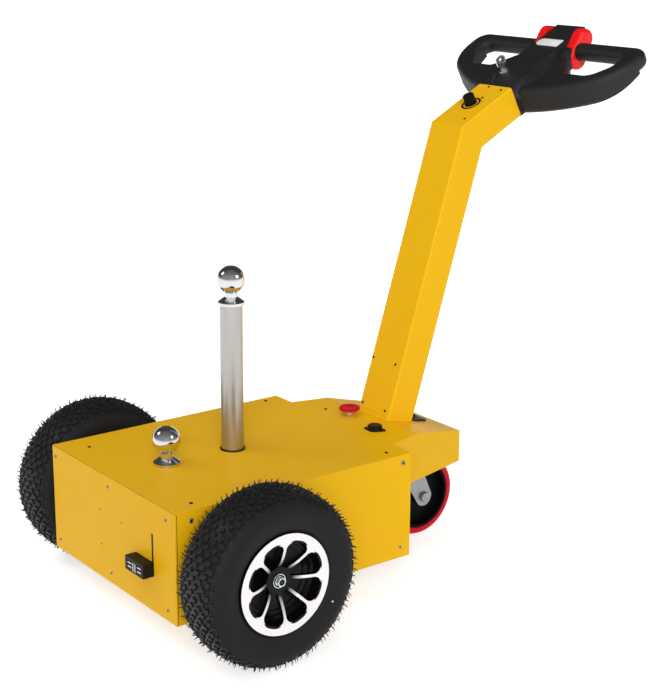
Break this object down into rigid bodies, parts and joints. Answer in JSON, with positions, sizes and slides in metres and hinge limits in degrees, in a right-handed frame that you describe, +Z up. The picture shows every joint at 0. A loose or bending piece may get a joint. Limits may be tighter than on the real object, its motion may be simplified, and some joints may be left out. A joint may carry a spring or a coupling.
{
  "type": "walk-behind electric tow tractor",
  "caption": "Walk-behind electric tow tractor: low yellow steel box on two drive wheels and a rear caster, tow balls on deck, leaning column with looped tiller head.",
  "frame": {"origin": "on the floor, under the centre of the whole machine's box", "axes": "-Y to the towing front, +Y to the handle end, +X to the left of someone walking behind it, +Z up"},
  "size_m": [0.6642, 1.1019, 0.9701],
  "materials": {
    "paint": "semi-gloss yellow powder coat on sheet steel",
    "steel": "dull machined steel",
    "battery_case": "moulded battery case",
    "plastic": "black moulded plastic",
    "head_plastic": "fine-grained black moulding",
    "red_plastic": "glossy red moulding",
    "red_tread": "smooth red polyurethane",
    "zinc": "bright zinc plate",
    "ball_chrome": "polished chrome",
    "post_steel": "brushed steel, grain along the post",
    "rim_aluminium": "machined ring and spoke crests, gloss black between",
    "tyre": "new black rubber"
  },
  "bodies": {
    "chassis": {"front_panel": "paint", "side_panel_left": "paint", "side_panel_right": "paint", "rear_panel": "paint", "floor_plate": "paint", "deck_plate": "paint", "tail_skirt": "paint", "tail_cross_plate": "paint", "column_lower": "paint", "column_neck": "paint", "drive_axle": "steel", "battery_block": "battery_case", "battery_plug": "plastic", "tow_ball_low": "ball_chrome", "tow_ball_high": "ball_chrome", "tow_post": "post_steel", "post_collar": "plastic", "caster_plate": "zinc", "head_shell_upper": "head_plastic", "head_shell_lower": "head_plastic", "head_hood": "head_plastic", "thumb_paddle_left": "red_plastic", "thumb_paddle_right": "red_plastic", "belly_switch": "head_plastic", "key_switch": "zinc", "key": "zinc", "speed_knob": "plastic", "stop_collar": "zinc", "stop_button": "red_plastic", "charge_cap": "plastic", "rocker_switch": "plastic"},
    "wheel_left": {"wheel_rim_left": "rim_aluminium", "tyre_left": "tyre", "hub_bolt_left": "zinc"},
    "wheel_right": {"wheel_rim_right": "rim_aluminium", "tyre_right": "tyre", "hub_bolt_right": "zinc"},
    "caster_swivel": {"caster_fork": "zinc", "caster_bolt": "zinc"},
    "caster_wheel": {"caster_core": "plastic", "caster_tread": "red_tread"}
  },
  "joints": [
    {"name": "wheel_left_spin", "type": "hinge", "parent": "chassis", "child": "wheel_left", "pos_m": [0.28, -0.40038, 0.151], "axis": [1, 0, 0], "continuous": true},
    {"name": "wheel_right_spin", "type": "hinge", "parent": "chassis", "child": "wheel_right", "pos_m": [-0.28, -0.40038, 0.151], "axis": [1, 0, 0], "continuous": true},
    {"name": "caster_swivel_turn", "type": "hinge", "parent": "chassis", "child": "caster_swivel", "pos_m": [0, 0.10062, 0.172], "axis": [0, 0, 1], "continuous": true},
    {"name": "caster_wheel_spin", "type": "hinge", "parent": "caster_swivel", "child": "caster_wheel", "pos_m": [0, 0.14762, 0.08], "axis": [1, 0, 0], "continuous": true}
  ]
}
